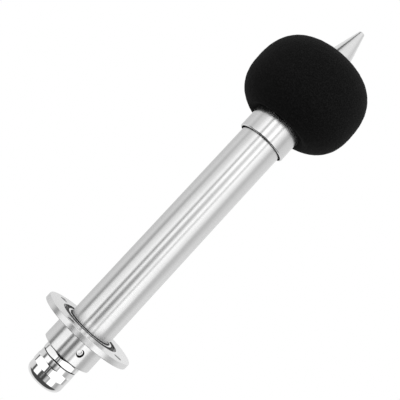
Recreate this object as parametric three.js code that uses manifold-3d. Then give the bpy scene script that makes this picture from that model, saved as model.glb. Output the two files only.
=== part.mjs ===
// Outdoor sound level sensor: a capsule microphone on a stainless mast tube, with a foam windscreen
// and a bird spike above it, a bolt-on flange under it and a cable gland at its foot.
// Millimetres. The origin is the centre of the flange's underside, and +Z runs up to the spike.
import * as THREE from 'three';
import { mergeVertices } from 'three/addons/utils/BufferGeometryUtils.js';
import Module from 'manifold-3d';

const wasm = await Module();
wasm.setup();

// ---------------------------------------------------------------- driving dimensions
const SIDES = 32; // facets round a large turned piece
const SMALL_SIDES = 20; // facets round a small turned piece
const GAP = 0.3; // running clearance between pieces that turn or slide
const SEAT = 0.1; // clearance between faces that rest on each other

const TUBE = { radius: 16, wall: 2, footZ: -12, length: 200 };
const TUBE_BORE = TUBE.radius - TUBE.wall;
const TUBE_TOP_Z = TUBE.footZ + TUBE.length;

const FLANGE = { radius: 34.5, thickness: 4, edge: 0.35 };
const HUB = { radius: 18.5, bottomZ: -17.5, floorZ: TUBE.footZ - SEAT };
const GROOVE = { inner: 18.5, outer: 22.8, depth: 2.8 };
const BOLT_HOLES = { radius: 2.75, pitchRadius: 28, angles: [65, 155, 245, 335] };
const SET_SCREW = { radius: 2.2, holeRadius: 2.5, z: -8.9, inner: 14.3, outer: 16.6, angles: [-70, 50, 170] };

const GLAND = { threadRadius: 9.85, boreRadius: 6.6, threadTopZ: -9.5 };
// Both hexagons of the gland have rounded corners and are turned down to `rim` at their ends.
const WRENCH = { flats: 26.8, fillet: 6, corner: 14.55, rim: 13.45, bevel: 0.63, turn: -4.5 };
const GLAND_HEX = { topZ: -19, bottomZ: -23.1 };
const GLAND_NECK = { radius: 10, bottomZ: -31, counterbore: 9, counterboreTopZ: -24.6 };
const DOME = { topZ: -23.7, hexTopZ: -27.15, hexBottomZ: -32.6, roundZ: -36.2, tipZ: -41 };
const DOME_RADIUS = { outside: 13.45, inside: GLAND_NECK.radius + GAP, hole: 6.6, tip: 8.65 };

const COLLAR = { radius: 18.5, bottomZ: 170.9, topZ: 200, plate: 5, edge: 1 };
const COLLAR_RELIEF = { radius: 17.3, topZ: 173.9 };
const HOLDER = { spigotZ: 178, spigot: 13.7, rim: 15.8, rimThickness: 3, boss: 13.9, neck: 8.5, topZ: 203 };
const CAGE = { postRadius: 1.5, pitchRadius: 13.8, angles: [90, 210, 330], seatZ: 230.1 };
const SPIKE_SEAT = { radius: 16.2, thickness: 6 };
const SEAT_TOP_Z = CAGE.seatZ + SPIKE_SEAT.thickness;
const WASHER = { radius: 9.3, thickness: 0.8 };
const SPIKE = { shank: 2.8, base: 9.9, baseZ: 237.1, coneZ: 249.8, tip: 2.3, topZ: 278.9, shankZ: 229.1 };
const FOAM = { radius: 43.2, centreZ: 215.9, bore: 18.8, ceilingZ: 236.8, topHole: 10.3 };
const FOAM_TOP = { height: 34.1, widthPower: 2 / 3.3, heightPower: 2 / 2.25 };
const FOAM_FOOT = { height: 33.6, widthPower: 2 / 3, heightPower: 2 / 2.4, innerRadius: 26 };
// From the bore's mouth, down over the rounded lip, to the foam's lowest ring.
const FOAM_LIP = [[FOAM.bore, 188.6], [20.1, 187.3], [21.6, 186.3], [23.2, 185.6], [24.8, 185.3]];

const CAPSULE = { radius: 6.6, bottomZ: 213.2, rimZ: 221.5, topZ: 226, wall: 0.6 };
const PREAMP = { radius: 6.35, wall: 0.6, bottomZ: 198.4, topZ: 213.1 };
const PREAMP_BOARD = { width: 8.4, thickness: 1.2, bottomZ: 180, topZ: 209 };

const CARRIER = { width: 20, thickness: 1.5, y: 4, bottomZ: 22, tabWidth: 16, tabDepth: 6.6 };
const BOARD = { width: 22, thickness: 1.6, bottomZ: 32, topZ: 152 };
const BOARD_HOLES = { x: 8.2, z: [56, 146] };
const TERMINAL = { width: 15, depth: 7.6, headerTopZ: 44, splitZ: 36, plugBottomZ: 24 };

// ---------------------------------------------------------------- materials
const metal = (color, roughness) => new THREE.MeshStandardMaterial({ color, roughness, metalness: 1 });
const plain = (color, roughness) => new THREE.MeshStandardMaterial({ color, roughness, metalness: 0 });
const satinSteel = () => metal(0xc9cbcc, 0.32);
const nickelPlate = () => metal(0xe2e2de, 0.12);
const screwSteel = () => metal(0x8a8c8e, 0.35);
const rubber = () => plain(0x161616, 0.75);
const foam = () => plain(0x141414, 1.0);
const nylon = () => plain(0x242424, 0.5);
const polymer = () => plain(0xd9d6cc, 0.45);
const circuitBoard = () => plain(0x14532d, 0.5);
const chipPlastic = () => plain(0x1d1d1f, 0.55);
const terminalPlastic = () => plain(0x2f8f4e, 0.5);
const goldContact = () => metal(0xd4af5a, 0.3);

// ---------------------------------------------------------------- geometry helpers
const radians = (degrees) => THREE.MathUtils.degToRad(degrees);

// A piece turned about Z. The outline is a list of [radius, z] that runs anticlockwise, up the
// outside and down the inside. It starts and ends on the axis, or it is closed here.
function turned(outline, sides = SIDES) {
  const points = outline.map(([radius, z]) => new THREE.Vector2(radius, z));
  const solid = outline[0][0] === 0;
  if (!solid) points.push(points[0].clone());
  const geometry = new THREE.LatheGeometry(points, sides);
  geometry.rotateX(Math.PI / 2);
  return geometry;
}

const disc = (radius, lowZ, highZ, sides) =>
  turned([[0, lowZ], [radius, lowZ], [radius, highZ], [0, highZ]], sides);

const ring = (inner, outer, lowZ, highZ, sides) =>
  turned([[inner, lowZ], [outer, lowZ], [outer, highZ], [inner, highZ]], sides);

// A rubber ring of round section.
function torus(centreRadius, sectionRadius, z, sectionSides = 6, sides = SIDES) {
  const outline = [];
  for (let i = 0; i < sectionSides; i += 1) {
    const angle = (2 * Math.PI * i) / sectionSides;
    outline.push([centreRadius + sectionRadius * Math.cos(angle), z + sectionRadius * Math.sin(angle)]);
  }
  return turned(outline, sides);
}

function block(sizeX, sizeY, sizeZ, centreX, centreY, centreZ) {
  const geometry = new THREE.BoxGeometry(sizeX, sizeY, sizeZ);
  geometry.translate(centreX, centreY, centreZ);
  return geometry;
}

// A prism along Z over a hexagon that measures `flats` across, with its corners rounded to `fillet`.
// One corner points to -Y before the prism is turned by `turn` degrees.
function hexPrism(flats, lowZ, highZ, turn = 0, fillet = 0) {
  const arcCentre = (flats / 2 - fillet) / Math.cos(radians(30));
  const arcSteps = fillet > 0 ? 4 : 0;
  const corners = [];
  for (let i = 0; i < 6; i += 1) {
    const middle = 30 + 60 * i + turn;
    for (let j = 0; j <= arcSteps; j += 1) {
      const angle = radians(arcSteps > 0 ? middle - 30 + (60 * j) / arcSteps : middle);
      corners.push(new THREE.Vector2(
        arcCentre * Math.cos(radians(middle)) + fillet * Math.cos(angle),
        arcCentre * Math.sin(radians(middle)) + fillet * Math.sin(angle),
      ));
    }
  }
  const outline = new THREE.Shape(corners);
  const geometry = new THREE.ExtrudeGeometry(outline, { depth: highZ - lowZ, bevelEnabled: false });
  geometry.translate(0, 0, lowZ);
  return geometry;
}

// A rod from `from` to `to` along +X, turned afterwards to its angle round Z at height z.
function radialRod(radius, from, to, z, angle, sides = SMALL_SIDES) {
  const geometry = new THREE.CylinderGeometry(radius, radius, to - from, sides);
  geometry.rotateZ(Math.PI / 2);
  geometry.translate((from + to) / 2, 0, z);
  geometry.rotateZ(radians(angle));
  return geometry;
}

function toManifold(geometry) {
  const bare = geometry.clone();
  bare.deleteAttribute('normal');
  bare.deleteAttribute('uv');
  const merged = mergeVertices(bare, 1e-4);
  const index = merged.index.array;
  const kept = [];
  for (let i = 0; i < index.length; i += 3) {
    const [a, b, c] = [index[i], index[i + 1], index[i + 2]];
    if (a !== b && b !== c && c !== a) kept.push(a, b, c);
  }
  const vertProperties = new Float32Array(merged.attributes.position.array);
  return new wasm.Manifold(new wasm.Mesh({ numProp: 3, vertProperties, triVerts: new Uint32Array(kept) }));
}

function toGeometry(solid) {
  const mesh = solid.getMesh();
  const geometry = new THREE.BufferGeometry();
  geometry.setAttribute('position', new THREE.BufferAttribute(mesh.vertProperties, 3));
  geometry.setIndex(new THREE.BufferAttribute(mesh.triVerts, 1));
  geometry.computeVertexNormals();
  return geometry;
}

const cut = (body, ...tools) =>
  toGeometry(tools.reduce((solid, tool) => solid.subtract(toManifold(tool)), toManifold(body)));

const join = (...pieces) =>
  toGeometry(pieces.map(toManifold).reduce((solid, piece) => solid.add(piece)));

const common = (a, b) => toGeometry(toManifold(a).intersect(toManifold(b)));

function part(name, geometry, material) {
  const mesh = new THREE.Mesh(geometry, material);
  mesh.name = name;
  return mesh;
}

// ---------------------------------------------------------------- mast: flange, tube and their seals
const setScrewHoles = () => SET_SCREW.angles.map((angle) =>
  radialRod(SET_SCREW.holeRadius, TUBE_BORE - 1, HUB.radius + 1, SET_SCREW.z, angle));

function mountingFlange() {
  const top = FLANGE.thickness;
  const bore = TUBE.radius + GAP;
  const chamfer = 0.6;
  const outline = [
    [GLAND.threadRadius + GAP, HUB.bottomZ],
    [HUB.radius - FLANGE.edge, HUB.bottomZ],
    [HUB.radius, HUB.bottomZ + FLANGE.edge],
    [HUB.radius, 0],
    [FLANGE.radius - FLANGE.edge, 0],
    [FLANGE.radius, FLANGE.edge],
    [FLANGE.radius, top - FLANGE.edge],
    [FLANGE.radius - FLANGE.edge, top],
    [GROOVE.outer, top],
    [GROOVE.outer, top - GROOVE.depth],
    [GROOVE.inner, top - GROOVE.depth],
    [GROOVE.inner, top],
    [bore + chamfer, top],
    [bore, top - chamfer],
    [bore, HUB.floorZ],
    [GLAND.threadRadius + GAP, HUB.floorZ],
  ];
  const boltHoles = BOLT_HOLES.angles.map((angle) => {
    const hole = disc(BOLT_HOLES.radius, -1, top + 1, SMALL_SIDES);
    hole.translate(BOLT_HOLES.pitchRadius, 0, 0);
    hole.rotateZ(radians(angle));
    return hole;
  });
  return part('mounting_flange', cut(turned(outline), ...boltHoles, ...setScrewHoles()), satinSteel());
}

// The face seal lies against the groove's inner wall, just below the flange's top face.
function flangeORing() {
  const section = 1.25;
  const z = FLANGE.thickness - 0.3 - section;
  return part('flange_o_ring', torus(GROOVE.inner + GAP + section, section, z), rubber());
}

// The tube's foot is sealed by a ring pressed into the chamfer of the flange's bore.
function tubeFootORing() {
  const section = 0.3;
  const z = FLANGE.thickness + 0.1;
  return part('tube_foot_o_ring', torus(TUBE.radius + 0.2 + section, section, z), rubber());
}

function mainTube() {
  const tube = ring(TUBE_BORE, TUBE.radius, TUBE.footZ, TUBE_TOP_Z);
  return part('main_tube', cut(tube, ...setScrewHoles()), satinSteel());
}

// A headless set screw: its tip reaches into the tube's wall and its hexagon socket faces out.
function setScrew(number, angle) {
  const length = SET_SCREW.outer - SET_SCREW.inner;
  const tipChamfer = 0.7;
  const socketDepth = 1.2;
  const blank = turned([
    [0, 0],
    [SET_SCREW.radius - tipChamfer, 0],
    [SET_SCREW.radius, tipChamfer],
    [SET_SCREW.radius, length],
    [0, length],
  ], 16);
  const geometry = cut(blank, hexPrism(2.5, length - socketDepth, length + 1));
  geometry.rotateY(Math.PI / 2);
  geometry.translate(SET_SCREW.inner, 0, SET_SCREW.z);
  geometry.rotateZ(radians(angle));
  return part(`hub_set_screw_${number}`, geometry, screwSteel());
}

// ---------------------------------------------------------------- cable gland
function glandGasket() {
  const outer = 13.3;
  const gasket = ring(GLAND.threadRadius + GAP, outer, GLAND_HEX.topZ + SEAT, HUB.bottomZ - SEAT);
  return part('gland_gasket', gasket, rubber());
}

const wrenchHex = (lowZ, highZ) => hexPrism(WRENCH.flats, lowZ, highZ, WRENCH.turn, WRENCH.fillet);

function glandBody() {
  const { corner, rim, bevel } = WRENCH;
  const flange = turned([
    [0, GLAND_HEX.bottomZ],
    [rim, GLAND_HEX.bottomZ],
    [corner, GLAND_HEX.bottomZ + bevel],
    [corner, GLAND_HEX.topZ - bevel],
    [rim, GLAND_HEX.topZ],
    [0, GLAND_HEX.topZ],
  ]);
  const hexagon = common(flange, wrenchHex(GLAND_HEX.bottomZ - 1, GLAND_HEX.topZ + 1));
  const upperThread = disc(GLAND.threadRadius, GLAND_HEX.topZ - 1, GLAND.threadTopZ);
  const lowerThread = disc(GLAND_NECK.radius, GLAND_NECK.bottomZ, GLAND_HEX.bottomZ + 1);
  const bore = disc(GLAND.boreRadius, GLAND_NECK.bottomZ - 1, GLAND.threadTopZ + 1);
  const seat = disc(GLAND_NECK.counterbore, GLAND_NECK.bottomZ - 1, GLAND_NECK.counterboreTopZ);
  return part('gland_body', cut(join(upperThread, hexagon, lowerThread), bore, seat), nickelPlate());
}

function glandORing() {
  const halfHeight = 0.2;
  const z = (GLAND_HEX.bottomZ + DOME.topZ) / 2;
  const outer = DOME_RADIUS.outside - 0.25;
  return part('gland_o_ring', ring(GLAND_NECK.radius + GAP, outer, z - halfHeight, z + halfHeight), rubber());
}

// The rubber sleeve that squeezes on to the cable.
function glandSeal() {
  const cableRadius = 5.2;
  return part('gland_seal', turned([
    [cableRadius, -37.4],
    [5.9, -37.4],
    [7, -33.5],
    [7, -25.4],
    [cableRadius, -25.4],
  ], SMALL_SIDES), rubber());
}

// The clamping claw holds the sleeve, and the dome nut's cone bends its fingers in.
function glandClaw() {
  const tipZ = -38.5;
  const shoulderZ = GLAND_NECK.bottomZ - SEAT;
  const shoulderBottomZ = shoulderZ - 1;
  const sleeve = turned([
    [6.4, tipZ],
    [7.3, tipZ],
    [8.7, -34],
    [8.7, shoulderBottomZ],
    [9.9, shoulderBottomZ],
    [9.9, shoulderZ],
    [8.7, shoulderZ],
    [8.7, -24.9],
    [7.3, -24.9],
    [7.3, -33.6],
  ], 24);
  const slots = [0, 60, 120].map((angle) => {
    const slot = block(24, 1.2, 5, 0, 0, tipZ + 1.5);
    slot.rotateZ(radians(angle));
    return slot;
  });
  return part('gland_claw', cut(sleeve, ...slots), nylon());
}

// The dome nut is round above and below its hexagon, and its mouth is a rounded dome.
function glandDomeNut() {
  const { outside, inside, hole, tip } = DOME_RADIUS;
  const { corner, bevel } = WRENCH;
  const edge = 0.3;
  const outline = [[0, DOME.tipZ], [tip, DOME.tipZ]];
  const domeSteps = 6;
  for (let i = 1; i <= domeSteps; i += 1) {
    const angle = (Math.PI / 2) * (i / domeSteps);
    const radius = tip + (outside - tip) * Math.sin(angle);
    outline.push([radius, DOME.roundZ - (DOME.roundZ - DOME.tipZ) * Math.cos(angle)]);
  }
  outline.push(
    [outside, DOME.hexBottomZ],
    [corner, DOME.hexBottomZ + bevel],
    [corner, DOME.hexTopZ - bevel],
    [outside, DOME.hexTopZ],
    [outside, DOME.topZ - edge],
    [outside - edge, DOME.topZ],
    [0, DOME.topZ],
  );
  const flatsWaste = cut(
    disc(corner + 1, DOME.hexBottomZ, DOME.hexTopZ),
    wrenchHex(DOME.hexBottomZ - 1, DOME.hexTopZ + 1),
  );
  const cavity = turned([
    [0, DOME.tipZ - 1],
    [hole, DOME.tipZ - 1],
    [hole, -40.2],
    [inside, -34.2],
    [inside, DOME.topZ + 1],
    [0, DOME.topZ + 1],
  ]);
  return part('gland_dome_nut', cut(turned(outline), flatsWaste, cavity), nickelPlate());
}

// ---------------------------------------------------------------- head: collar, cage and spike
const postHoles = (lowZ, highZ) => CAGE.angles.map((angle) => {
  const hole = disc(CAGE.postRadius + GAP, lowZ, highZ, 12);
  hole.translate(CAGE.pitchRadius, 0, 0);
  hole.rotateZ(radians(angle));
  return hole;
});

const collarPlateZ = COLLAR.topZ - COLLAR.plate;

// The collar screws on to the tube's top, holds the microphone holder down and carries the cage.
function headCollar() {
  const round = COLLAR.edge;
  const opening = HOLDER.neck + GAP;
  const chamber = HOLDER.boss + GAP;
  const shoulderZ = TUBE_TOP_Z + SEAT + HOLDER.rimThickness + SEAT;
  const outline = [
    [COLLAR_RELIEF.radius, COLLAR.bottomZ],
    [COLLAR.radius - round, COLLAR.bottomZ],
    [COLLAR.radius - 0.3 * round, COLLAR.bottomZ + 0.3 * round],
    [COLLAR.radius, COLLAR.bottomZ + round],
    [COLLAR.radius, COLLAR.topZ - 0.5],
    [COLLAR.radius - 0.5, COLLAR.topZ],
    [opening, COLLAR.topZ],
    [opening, collarPlateZ],
    [chamber, collarPlateZ],
    [chamber, shoulderZ],
    [TUBE.radius + GAP, shoulderZ],
    [TUBE.radius + GAP, COLLAR_RELIEF.topZ],
    [COLLAR_RELIEF.radius, COLLAR_RELIEF.topZ],
  ];
  const holes = postHoles(collarPlateZ + 0.8, COLLAR.topZ + 1);
  return part('head_collar', cut(turned(outline), ...holes), satinSteel());
}

function cagePost(number, angle) {
  const bottomZ = collarPlateZ + 0.9;
  const topZ = CAGE.seatZ + 3.4;
  const geometry = disc(CAGE.postRadius, bottomZ, topZ, 12);
  geometry.translate(CAGE.pitchRadius, 0, 0);
  geometry.rotateZ(radians(angle));
  return part(`cage_post_${number}`, geometry, satinSteel());
}

function spikeSeat() {
  const edge = 0.5;
  const blank = turned([
    [SPIKE.shank + GAP, CAGE.seatZ],
    [SPIKE_SEAT.radius - edge, CAGE.seatZ],
    [SPIKE_SEAT.radius, CAGE.seatZ + edge],
    [SPIKE_SEAT.radius, SEAT_TOP_Z - edge],
    [SPIKE_SEAT.radius - edge, SEAT_TOP_Z],
    [SPIKE.shank + GAP, SEAT_TOP_Z],
  ], 30);
  return part('spike_seat', cut(blank, ...postHoles(CAGE.seatZ - 1, CAGE.seatZ + 3.5)), satinSteel());
}

function spikeWasher() {
  const low = SEAT_TOP_Z + SEAT;
  const washer = ring(SPIKE.shank + GAP, WASHER.radius, low, low + WASHER.thickness, 24);
  return part('spike_washer', washer, nylon());
}

function birdSpike() {
  const tipRound = 0.6;
  return part('bird_spike', turned([
    [0, SPIKE.shankZ],
    [SPIKE.shank - 0.5, SPIKE.shankZ],
    [SPIKE.shank, SPIKE.shankZ + 0.5],
    [SPIKE.shank, SPIKE.baseZ],
    [SPIKE.base, SPIKE.baseZ],
    [SPIKE.base, SPIKE.coneZ],
    [SPIKE.tip, SPIKE.topZ - tipRound],
    [SPIKE.tip - tipRound, SPIKE.topZ],
    [0, SPIKE.topZ],
  ], 30), satinSteel());
}

// The foam ball is a flattened sphere with squarer shoulders, bored from below to fit the collar.
// The bore's mouth is drawn in to a rounded lip, and the top hole passes the spike.
function windscreenBall() {
  const surface = (angle) => {
    const { height, widthPower, heightPower } = angle < 0 ? FOAM_FOOT : FOAM_TOP;
    const rise = Math.sign(angle) * Math.abs(Math.sin(angle)) ** heightPower;
    return [FOAM.radius * Math.cos(angle) ** widthPower, FOAM.centreZ + height * rise];
  };
  const angleAtRadius = (radius, { widthPower }) => Math.acos((radius / FOAM.radius) ** (1 / widthPower));
  const steps = 18;
  const start = -angleAtRadius(FOAM_FOOT.innerRadius, FOAM_FOOT);
  const end = angleAtRadius(FOAM.topHole, FOAM_TOP);
  const outline = [...FOAM_LIP];
  for (let i = 0; i <= steps; i += 1) outline.push(surface(start + ((end - start) * i) / steps));
  outline.push([FOAM.topHole, FOAM.ceilingZ], [FOAM.bore, FOAM.ceilingZ]);
  return part('windscreen_ball', turned(outline), foam());
}

// ---------------------------------------------------------------- microphone and its holder
const tieScrewX = 6.5;
const tieScrewY = 8.4;

const tieScrewHoles = (lowZ, highZ) => [-tieScrewX, tieScrewX].map((x) => {
  const hole = disc(1.4 + GAP, lowZ, highZ, 12);
  hole.translate(x, tieScrewY, 0);
  return hole;
});

function microphoneHolder() {
  const rimZ = TUBE_TOP_Z + SEAT;
  const rimTopZ = rimZ + HOLDER.rimThickness;
  const bossTopZ = collarPlateZ - SEAT;
  const wireBore = 5.2;
  const sealGroove = { radius: 12.3, lowZ: 182, highZ: 184 };
  const clipGroove = { radius: 7.8, lowZ: COLLAR.topZ + 0.2, highZ: COLLAR.topZ + 1.6 };
  const outline = [
    [wireBore, HOLDER.spigotZ],
    [HOLDER.spigot, HOLDER.spigotZ],
    [HOLDER.spigot, sealGroove.lowZ],
    [sealGroove.radius, sealGroove.lowZ],
    [sealGroove.radius, sealGroove.highZ],
    [HOLDER.spigot, sealGroove.highZ],
    [HOLDER.spigot, rimZ],
    [HOLDER.rim, rimZ],
    [HOLDER.rim, rimTopZ],
    [HOLDER.boss, rimTopZ],
    [HOLDER.boss, bossTopZ],
    [HOLDER.neck, bossTopZ],
    [HOLDER.neck, clipGroove.lowZ],
    [clipGroove.radius, clipGroove.lowZ],
    [clipGroove.radius, clipGroove.highZ],
    [HOLDER.neck, clipGroove.highZ],
    [HOLDER.neck, HOLDER.topZ],
    [PREAMP.radius + GAP, HOLDER.topZ],
    [PREAMP.radius + GAP, PREAMP.bottomZ - SEAT],
    [wireBore, PREAMP.bottomZ - SEAT],
  ];
  const holes = tieScrewHoles(HOLDER.spigotZ - 1, HOLDER.spigotZ + 3.5);
  return part('microphone_holder', cut(turned(outline, 24), ...holes), polymer());
}

function holderORing() {
  return part('holder_o_ring', torus(13.1, 0.65, 183), rubber());
}

// The circlip on the holder's neck lies on the collar, so the collar lifts the holder as it unscrews.
function holderCirclip() {
  const low = COLLAR.topZ + 0.35;
  const blank = ring(8, 10.4, low, low + 1, 24);
  const mouth = block(4, 4, 3, 0, -9, low + 0.5);
  return part('holder_circlip', cut(blank, mouth), screwSteel());
}

function preampHousing() {
  const inner = PREAMP.radius - PREAMP.wall;
  return part('preamp_housing', ring(inner, PREAMP.radius, PREAMP.bottomZ, PREAMP.topZ, 24), satinSteel());
}

function preampInsulator() {
  const radius = PREAMP.radius - PREAMP.wall - 0.1;
  return part('preamp_insulator', ring(1.1, radius, 210, 212, SMALL_SIDES), polymer());
}

function preampContact() {
  return part('preamp_contact', turned([
    [0, 209.2],
    [0.8, 209.2],
    [0.8, 213.6],
    [0.4, 214],
    [0, 214],
  ], 12), goldContact());
}

function preampBoard() {
  const { width, thickness, bottomZ, topZ } = PREAMP_BOARD;
  const sheet = block(width, thickness, topZ - bottomZ, 0, 0, (topZ + bottomZ) / 2);
  return part('preamp_board', sheet, circuitBoard());
}

function preampChip() {
  const y = -(PREAMP_BOARD.thickness / 2 + 0.1 + 0.7);
  return part('preamp_chip', block(4, 1.4, 5, 0, y, 204), chipPlastic());
}

function capsuleHousing() {
  const inner = CAPSULE.radius - CAPSULE.wall;
  const housing = ring(inner, CAPSULE.radius, CAPSULE.bottomZ, CAPSULE.rimZ, 24);
  return part('capsule_housing', housing, satinSteel());
}

function capsuleInsulator() {
  const radius = CAPSULE.radius - CAPSULE.wall - 0.1;
  return part('capsule_insulator', ring(1.6, radius, 216, 217.6, 24), polymer());
}

function capsuleBackplate() {
  return part('capsule_backplate', turned([
    [0, 214.3],
    [1.4, 214.3],
    [1.4, 219.2],
    [4.6, 219.2],
    [4.6, 220.6],
    [0, 220.6],
  ], SMALL_SIDES), goldContact());
}

function capsuleDiaphragm() {
  const low = CAPSULE.rimZ + SEAT;
  return part('capsule_diaphragm', disc(CAPSULE.radius - 0.3, low, low + 0.15, 24), metal(0xd8d8d8, 0.2));
}

// The grid is a cap with slots, so sound reaches the diaphragm and fingers don't.
function protectionGrid() {
  const low = CAPSULE.rimZ + 0.4;
  const inner = CAPSULE.radius - CAPSULE.wall;
  const roofZ = CAPSULE.topZ - 0.9;
  const shell = turned([
    [0, roofZ],
    [inner, roofZ],
    [inner, low],
    [CAPSULE.radius, low],
    [CAPSULE.radius, CAPSULE.topZ - 0.6],
    [CAPSULE.radius - 0.6, CAPSULE.topZ],
    [0, CAPSULE.topZ],
  ], 24);
  const slots = [0, 60, 120, 180, 240, 300].map((angle) => {
    const slot = block(3.6, 0.9, 3, 3.2, 0, CAPSULE.topZ);
    slot.rotateZ(radians(angle));
    return slot;
  });
  return part('protection_grid', cut(shell, ...slots), satinSteel());
}

// ---------------------------------------------------------------- electronics in the tube
const boardFaceY = CARRIER.y - 4.2; // rear face of the main board
const boardFrontY = boardFaceY - BOARD.thickness;

const boardFixings = [-1, 1].flatMap((side) => BOARD_HOLES.z.map((z) => [side * BOARD_HOLES.x, z]));

// A rod along Y, for screws and their holes.
function yRod(radius, lowY, highY, x, z, sides = 12) {
  const geometry = new THREE.CylinderGeometry(radius, radius, highY - lowY, sides);
  geometry.translate(x, (lowY + highY) / 2, z);
  return geometry;
}

const boardScrewHoles = (lowY, highY) => boardFixings.map(([x, z]) => yRod(1.6, lowY, highY, x, z));

// An aluminium strip with its top end bent forward and screwed to the holder's spigot.
function boardCarrier() {
  const topZ = HOLDER.spigotZ - SEAT;
  const strip = block(
    CARRIER.width, CARRIER.thickness, topZ - CARRIER.bottomZ,
    0, CARRIER.y + CARRIER.thickness / 2, (topZ + CARRIER.bottomZ) / 2,
  );
  const tab = block(
    CARRIER.tabWidth, CARRIER.tabDepth, CARRIER.thickness,
    0, CARRIER.y + CARRIER.tabDepth / 2, topZ - CARRIER.thickness / 2,
  );
  const holes = [...boardScrewHoles(CARRIER.y - 1, CARRIER.y + 3), ...tieScrewHoles(topZ - 3, topZ + 1)];
  return part('board_carrier', cut(join(strip, tab), ...holes), metal(0xb9bcbe, 0.45));
}

function carrierScrew(number, x) {
  const headTopZ = HOLDER.spigotZ - SEAT - CARRIER.thickness - SEAT;
  const geometry = turned([
    [0, headTopZ - 1.8],
    [2, headTopZ - 1.8],
    [2.3, headTopZ - 1.4],
    [2.3, headTopZ],
    [1.4, headTopZ],
    [1.4, HOLDER.spigotZ + 3.2],
    [0, HOLDER.spigotZ + 3.2],
  ], 12);
  geometry.translate(x, tieScrewY, 0);
  return part(`carrier_screw_${number}`, geometry, screwSteel());
}

function mainBoard() {
  const centreZ = (BOARD.bottomZ + BOARD.topZ) / 2;
  const centreY = (boardFaceY + boardFrontY) / 2;
  const sheet = block(BOARD.width, BOARD.thickness, BOARD.topZ - BOARD.bottomZ, 0, centreY, centreZ);
  return part('main_board', cut(sheet, ...boardScrewHoles(boardFrontY - 1, boardFaceY + 1)), circuitBoard());
}

// A spacer tube and its screw at each corner fixing of the board.
function boardSpacer(number, x, z) {
  const length = CARRIER.y - boardFaceY - 2 * SEAT;
  const geometry = ring(1.6, 2.8, -length / 2, length / 2, 12);
  geometry.rotateX(Math.PI / 2);
  geometry.translate(x, (CARRIER.y + boardFaceY) / 2, z);
  return part(`board_spacer_${number}`, geometry, goldContact());
}

function boardScrew(number, x, z) {
  const headLow = 0;
  const headHigh = 1.5;
  const end = boardFrontY - SEAT - (CARRIER.y + CARRIER.thickness + 0.8);
  const geometry = turned([
    [0, end],
    [1.25, end],
    [1.25, headLow],
    [2.4, headLow],
    [2.4, headHigh - 0.4],
    [2, headHigh],
    [0, headHigh],
  ], 12);
  geometry.rotateX(Math.PI / 2);
  geometry.translate(x, boardFrontY - SEAT, z);
  return part(`board_screw_${number}`, geometry, screwSteel());
}

// A piece that stands on the front of the main board.
function onBoard(name, width, height, length, x, z, material) {
  const y = boardFrontY - SEAT - height / 2;
  return part(name, block(width, height, length, x, y, z), material);
}

function capacitor(number, x, z) {
  const height = 7;
  const geometry = turned([
    [0, 0],
    [3, 0],
    [3, height - 0.4],
    [2.6, height],
    [0, height],
  ], 14);
  geometry.rotateX(Math.PI / 2);
  geometry.translate(x, boardFrontY - SEAT, z);
  return part(`capacitor_${number}`, geometry, metal(0x55585c, 0.35));
}

// The header is soldered to the board, and the plug that holds the cable's wires pulls off it.
function terminalHeader() {
  const low = TERMINAL.splitZ + GAP;
  return onBoard('terminal_header', TERMINAL.width, TERMINAL.depth, TERMINAL.headerTopZ - low,
    0, (TERMINAL.headerTopZ + low) / 2, terminalPlastic());
}

function terminalPlug() {
  const { width, depth, splitZ, plugBottomZ } = TERMINAL;
  const y = boardFrontY - 0.5 - depth / 2;
  const bodyBlock = block(width, depth, splitZ - plugBottomZ, 0, y, (splitZ + plugBottomZ) / 2);
  const pitch = 3.5;
  const poles = [-1.5, -0.5, 0.5, 1.5].map((step) => step * pitch);
  const wireHoles = poles.map((x) => block(2.2, 2.2, 7, x, y, plugBottomZ + 2));
  const screwHoles = poles.map((x) => yRod(1.1, y - depth, y - depth / 2 + 1.6, x, plugBottomZ + 8));
  return part('terminal_plug', cut(bodyBlock, ...wireHoles, ...screwHoles), terminalPlastic());
}

// The lead runs from the preamplifier's board, out of the holder's bore, to the socket below.
function signalLead() {
  const leadRadius = 0.9;
  const route = new THREE.CatmullRomCurve3([
    new THREE.Vector3(0, -2.4, 179.6),
    new THREE.Vector3(0, -2.6, 172),
    new THREE.Vector3(0.8, -4.6, 162),
    new THREE.Vector3(0, -4.6, 152.5),
    new THREE.Vector3(0, -4.6, 147.9),
  ]);
  const section = new THREE.Shape();
  section.absarc(0, 0, leadRadius, 0, 2 * Math.PI, false);
  const geometry = new THREE.ExtrudeGeometry(section, {
    steps: 16, curveSegments: 4, bevelEnabled: false, extrudePath: route,
  });
  return part('signal_lead', geometry, rubber());
}

// ---------------------------------------------------------------- the whole sensor
const sensor = new THREE.Group();

sensor.add(mountingFlange(), flangeORing(), tubeFootORing(), mainTube());
SET_SCREW.angles.forEach((angle, i) => sensor.add(setScrew(i + 1, angle)));

sensor.add(glandGasket(), glandBody(), glandORing(), glandSeal(), glandClaw(), glandDomeNut());

sensor.add(headCollar(), spikeSeat(), spikeWasher(), birdSpike(), windscreenBall());
CAGE.angles.forEach((angle, i) => sensor.add(cagePost(i + 1, angle)));

sensor.add(microphoneHolder(), holderORing(), holderCirclip());
sensor.add(preampHousing(), preampInsulator(), preampContact(), preampBoard(), preampChip());
sensor.add(capsuleHousing(), capsuleInsulator(), capsuleBackplate(), capsuleDiaphragm(), protectionGrid());

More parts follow.
